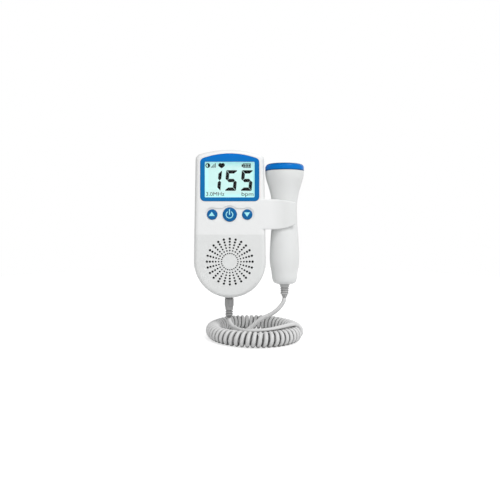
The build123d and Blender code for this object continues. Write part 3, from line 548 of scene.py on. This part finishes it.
def meshOf(name, shape):
    bmesh.ops.recalc_face_normals(shape, faces=shape.faces)
    mesh = bpy.data.meshes.new(name)
    shape.to_mesh(mesh)
    shape.free()
    return mesh


def slabMesh(name, outlines, front, back):
    shape = bmesh.new()
    for outline in outlines:
        face = shape.faces.new([shape.verts.new((x, front, z)) for x, z in outline])
        pushBack(shape, [face], back - front)
    return meshOf(name, shape)


cellFront = boxOf("lcd_panel")[0].y
digitLook = {
    "width": 10.5 * mm,
    "height": 18.9 * mm,
    "stroke": 3.0 * mm,
    "gap": 0.18 * mm,
    "blunt": 0.7 * mm,  # cut off the free tips of the top and bottom bars
    "bluntFall": 0.3,  # how far a blunted tip falls, as a share of the stroke
    "slant": 5.0,  # degrees
    "pitch": 14.4 * mm,
    "lastX": 15.6 * mm,
    "middleZ": 40.05 * mm,
    "inkDepth": 0.05 * mm,
}
digitSegments = {"1": "bc", "5": "afgcd"}  # the bars that the reading needs


def segmentOutlines(digit, middleX):  # bars a to f clockwise from the top, and g in the middle
    sizes = ("width", "height", "stroke", "gap", "blunt")
    wide, tall, thick, gap, blunt = (digitLook[size] for size in sizes)
    half, point = tall / 2, thick / 2
    fall = digitLook["bluntFall"] * thick
    shapes = {
        "a": [(gap, tall), (wide - blunt, tall), (wide - blunt, tall - fall),
              (wide - thick - gap, tall - thick), (thick + gap, tall - thick)],
        "b": [(wide, tall - gap), (wide - thick, tall - thick - gap), (wide - thick, half + point + gap),
              (wide - point, half + gap), (wide, half + point)],
        "c": [(wide, gap), (wide - thick, thick + gap), (wide - thick, half - point - gap),
              (wide - point, half - gap), (wide, half - point)],
        "d": [(blunt, 0), (wide - gap, 0), (wide - thick - gap, thick), (thick + gap, thick), (blunt, fall)],
        "f": [(0, tall - gap), (thick, tall - thick - gap), (thick, half + point + gap),
              (point, half + gap), (0, half + point)],
        "g": [(gap + point, half), (thick + gap, half + point), (wide - thick - gap, half + point),
              (wide - gap - point, half), (wide - thick - gap, half - point), (thick + gap, half - point)],
    }
    lean = math.tan(math.radians(digitLook["slant"]))
    outlines = []
    for letter in digitSegments[digit]:
        outlines.append([(middleX - wide / 2 + x + (z - half) * lean, digitLook["middleZ"] - half + z)
                         for x, z in shapes[letter]])
    return outlines


def inkPiece(name, outlines):
    front = cellFront - digitLook["inkDepth"]
    return addPiece(name, slabMesh(name, outlines, front, cellFront), ink, "main_unit")


reading = "155"
digitOutlines = []
for place, digit in enumerate(reading):
    middle = digitLook["lastX"] - (len(reading) - 1 - place) * digitLook["pitch"]
    digitOutlines += segmentOutlines(digit, middle)
inkPiece("readingDigits", digitOutlines)


def arcBand(centre, inner, outer, start, end, steps):  # a band between two radii, angles in degrees
    angles = [math.radians(start + (end - start) * i / steps) for i in range(steps + 1)]
    outside = [(centre[0] + outer * math.cos(a), centre[1] + outer * math.sin(a)) for a in angles]
    inside = [(centre[0] + inner * math.cos(a), centre[1] + inner * math.sin(a)) for a in reversed(angles)]
    return outside + (inside if inner else [centre])


def arcQuads(centre, inner, outer, start, end, steps):  # the same band as a strip of quads
    rim = arcBand(centre, inner, outer, start, end, steps)
    return [[rim[i], rim[i + 1], rim[-i - 2], rim[-i - 1]] for i in range(steps)]


def scaled(outlines):  # millimetres to metres
    return [[(x * mm, z * mm) for x, z in outline] for outline in outlines]


def bar(lowX, highX, lowZ, highZ):
    return [(lowX, lowZ), (highX, lowZ), (highX, highZ), (lowX, highZ)]


iconLook = {  # in millimetres
    "moon": (-20.3, 53.85), "moonRadius": 2.15, "moonWall": 0.8, "moonSteps": 16,
    "signalLeft": -17.4, "signalLow": 51.85, "signalBars": 4, "signalStep": 1.2, "signalWidth": 0.7,
    "signalRise": 1.0,
    "heart": (-7.6, 53.75), "heartWidth": 6.0, "heartHeight": 4.8,
    "heartHalf": [(0.0, 0.37), (0.14, 0.46), (0.36, 0.5), (0.62, 0.48), (0.86, 0.36), (1.0, 0.12),
                  (0.95, -0.04), (0.75, -0.18), (0.45, -0.33), (0.15, -0.46), (0.0, -0.5)],
    "battery": (10.9, 19.3, 51.75, 55.75), "batteryWall": 0.5, "batteryNub": (1.3, 2.2),
    "batteryBars": 4, "batteryInset": (0.25, 0.3), "batteryGap": 0.4,
}


def moonOutlines():  # contrast sign: a ring, its right half filled
    moon, radius, steps = iconLook["moon"], iconLook["moonRadius"], iconLook["moonSteps"]
    inner = radius - iconLook["moonWall"]
    return [arcBand(moon, inner, radius, 90, 270, steps), arcBand(moon, 0.0, radius, -90, 90, steps)]


def signalOutlines():  # bars, each taller than the last
    outlines = []
    low = iconLook["signalLow"]
    for step in range(iconLook["signalBars"]):
        left = iconLook["signalLeft"] + step * iconLook["signalStep"]
        high = low + (step + 1) * iconLook["signalRise"]
        outlines.append(bar(left, left + iconLook["signalWidth"], low, high))
    return outlines


def heartOutlines():
    x, z = iconLook["heart"]
    half = iconLook["heartHalf"]
    both = half + [(-across, up) for across, up in half[-2:0:-1]]
    return [[(x + iconLook["heartWidth"] / 2 * across, z + iconLook["heartHeight"] * up)
             for across, up in both]]


def batteryOutlines():
    left, right, low, high = iconLook["battery"]
    nubLength, nubHeight = iconLook["batteryNub"]
    insetX, insetZ = iconLook["batteryInset"]
    wall, body, middle = iconLook["batteryWall"], left + nubLength, (low + high) / 2
    outlines = [
        bar(body, right, low, low + wall),
        bar(body, right, high - wall, high),
        bar(right - wall, right, low + wall, high - wall),
        bar(body, body + wall, low + wall, high - wall),
        bar(left, body, middle - nubHeight / 2, middle + nubHeight / 2),
    ]
    pitch = (right - body - 2 * wall) / iconLook["batteryBars"]
    for step in range(iconLook["batteryBars"]):
        start = body + wall + step * pitch + insetX
        end = start + pitch - iconLook["batteryGap"]
        outlines.append(bar(start, end, low + wall + insetZ, high - wall - insetZ))
    return outlines


inkPiece("statusIcons", scaled(moonOutlines() + signalOutlines() + heartOutlines() + batteryOutlines()))

letterLook = {
    "low": 25.9 * mm,
    "size": 5.1 * mm,
    "curveSteps": 6,
    "words": [("3.0MHz", -21.9, -5.0), ("bpm", 10.9, 21.7)],  # with their left and right ends in millimetres
}


def letterPiece(name, word, left, right):
    curve = bpy.data.curves.new(name, "FONT")
    curve.body = word
    curve.size = letterLook["size"]
    curve.extrude = digitLook["inkDepth"] / 2
    curve.resolution_u = letterLook["curveSteps"]
    holder = bpy.data.objects.new(name, curve)
    bpy.context.scene.collection.objects.link(holder)
    bpy.context.view_layer.update()
    mesh = bpy.data.meshes.new_from_object(holder)
    bpy.data.objects.remove(holder)
    across = [vertex.co.x for vertex in mesh.vertices]
    widen = (right - left) * mm / (max(across) - min(across))
    for vertex in mesh.vertices:
        x, up, depth = vertex.co
        vertex.co = (left * mm + (x - min(across)) * widen, cellFront - digitLook["inkDepth"] / 2 - depth,
                     letterLook["low"] + up)
    mesh.materials.clear()
    return addPiece(name, mesh, ink, "main_unit")


for number, (word, left, right) in enumerate(letterLook["words"]):
    letterPiece(f"unitLetters{number + 1}", word, left, right)
print("display drawn")


# Symbols on the domed keys

symbolLook = {
    "capRise": 0.45 * mm,  # how far the key's face rises to its middle
    "proud": 0.05 * mm,
    "sunk": 0.08 * mm,
    "weld": 0.01 * mm,
    "cuts": 2,
    # outlines in millimetres from the key's middle
    "up": [[(-3.1, -1.4), (2.4, -1.4), (-0.35, 2.5)]],
    "down": [[(-2.9, 1.96), (-0.15, -2.1), (2.55, 1.96)]],
    "power": arcQuads((-0.2, -0.15), inner=2.7, outer=3.45, start=-240, end=60, steps=40)
    + [bar(-0.6, 0.25, -0.3, 4.7)],
}


def domedMesh(name, outlines, low, high):  # a thin skin that follows the key's dome
    shape = bmesh.new()
    for outline in outlines:
        shape.faces.new([shape.verts.new((x * mm, 0, z * mm)) for x, z in outline])
    bmesh.ops.remove_doubles(shape, verts=shape.verts, dist=symbolLook["weld"])
    bmesh.ops.triangulate(shape, faces=shape.faces)
    bmesh.ops.subdivide_edges(shape, edges=shape.edges, cuts=symbolLook["cuts"], use_grid_fill=True)
    radius = (high.z - low.z) / 2
    rise = symbolLook["capRise"]
    ball = (radius ** 2 + rise ** 2) / (2 * rise)
    middle = (low + high) / 2
    for vertex in shape.verts:
        x, z = vertex.co.x, vertex.co.z
        dome = low.y + ball - math.sqrt(ball ** 2 - x ** 2 - z ** 2)
        vertex.co = (middle.x + x, dome - symbolLook["proud"], middle.z + z)
    pushBack(shape, shape.faces[:], symbolLook["proud"] + symbolLook["sunk"])
    return meshOf(name, shape)


for key in ("up", "power", "down"):
    name = "symbol" + key.capitalize()
    symbol = domedMesh(name, symbolLook[key], *boxOf("button_" + key))
    addPiece(name, symbol, symbolInk, "key_" + key)
print("key symbols printed")


# Camera, lamps and floor

cameraLook = {"place": (0.0186, -0.4835, 0.00105), "lens": 35.35, "sensor": 36.0, "shiftY": -0.0543,
              "tilt": 90}  # level
cameraData = bpy.data.cameras.new("camera")
cameraData.sensor_width = cameraLook["sensor"]
cameraData.lens = cameraLook["lens"]
cameraData.shift_y = cameraLook["shiftY"]
camera = bpy.data.objects.new("camera", cameraData)
camera.location = cameraLook["place"]
camera.rotation_euler = (math.radians(cameraLook["tilt"]), 0, 0)
bpy.context.scene.collection.objects.link(camera)
bpy.context.scene.camera = camera

lightLook = {
    "worldFill": 0.6,
    # the studio's left side: level, how far its rim leans, and where it starts and ends
    "leftFill": (0.55, 0.0, -0.8, -0.2),
    "leftShine": (0.15, 0.25, -0.3, -0.04),
    "floorGlow": 0.62,
    "floorReach": 0.7,
    "floorSteps": 96,
    "floorTone": "#dcdcdc",
    "aim": (0.02, 0, 0),
    "lamps": [  # name, place, size and power
        ("keyLamp", (0.5, -0.75, 0.95), 0.5, 7.3),
        ("frontLamp", (-0.25, -1.1, 0.75), 0.5, 1.2),
        ("fillLamp", (-0.75, -0.6, 0.3), 0.8, 0.6),
        ("backLamp", (0.3, 0.8, 0.7), 0.6, 1.5),
    ],
}


def addLamp(name, place, size, power):
    data = bpy.data.lights.new(name, "AREA")
    data.shape = "DISK"
    data.size = size
    data.energy = power
    lamp = bpy.data.objects.new(name, data)
    lamp.location = place
    lamp.rotation_euler = (Vector(lightLook["aim"]) - Vector(place)).to_track_quat("-Z", "Y").to_euler()
    bpy.context.scene.collection.objects.link(lamp)


def seenDirectly(tree):  # by the camera, in a mirror or through the pane
    path = addNode(tree, "LightPath").outputs
    either = maths(tree, "MAXIMUM", path["Is Camera Ray"], path["Is Glossy Ray"])
    return maths(tree, "MAXIMUM", either, path["Is Transmission Ray"])


def buildWorld():  # white to the camera, softer as light, and darker on the left
    world = bpy.data.worlds.new("studio")
    bpy.context.scene.world = world
    world.use_nodes = True
    tree = world.node_tree
    background = tree.nodes["Background"]
    strength = ramp(tree, seenDirectly(tree), 0.0, 1.0, lightLook["worldFill"], 1.0)
    way = addNode(tree, "TexCoord").outputs["Generated"]
    shades = []
    for name in ("leftFill", "leftShine"):  # as light, and as seen in reflections
        level, lean, start, end = lightLook[name]
        across = addNode(tree, "VectorMath", {0: way, 1: (1, -lean, 0)}, operation="DOT_PRODUCT")
        shades.append(ramp(tree, across.outputs["Value"], start, end, level, 1.0))
    path = addNode(tree, "LightPath").outputs
    shade = addNode(tree, "Mix", {0: path["Is Glossy Ray"], 2: shades[0], 3: shades[1]}, data_type="FLOAT")
    shade = maths(tree, "MAXIMUM", shade.outputs[0], path["Is Camera Ray"])
    tree.links.new(maths(tree, "MULTIPLY", strength, shade), background.inputs["Strength"])
    background.inputs["Color"].default_value = (1, 1, 1, 1)


def buildFloor():  # white disc that catches the soft shadows
    reach, steps = lightLook["floorReach"], lightLook["floorSteps"]
    turns = [2 * math.pi * i / steps for i in range(steps)]
    rim = [(reach * math.cos(turn), reach * math.sin(turn), floorZ) for turn in turns]
    mesh = bpy.data.meshes.new("floor")
    mesh.from_pydata(rim, [], [tuple(range(steps))])
    floor = bpy.data.objects.new("floor", mesh)
    bpy.context.scene.collection.objects.link(floor)
    material, tree, shader = startMaterial("paintedFloor", {
        "Roughness": 0.9, "Specular IOR Level": 0.0, "Base Color": toLinear(lightLook["floorTone"]),
        "Emission Color": (1, 1, 1, 1)})
    glow = maths(tree, "MULTIPLY", seenDirectly(tree), lightLook["floorGlow"])
    tree.links.new(glow, shader.inputs["Emission Strength"])
    mesh.materials.append(material)


for lamp in lightLook["lamps"]:
    addLamp(*lamp)
buildWorld()
buildFloor()
bpy.context.scene.view_settings.view_transform = "Standard"
print("camera and light set")
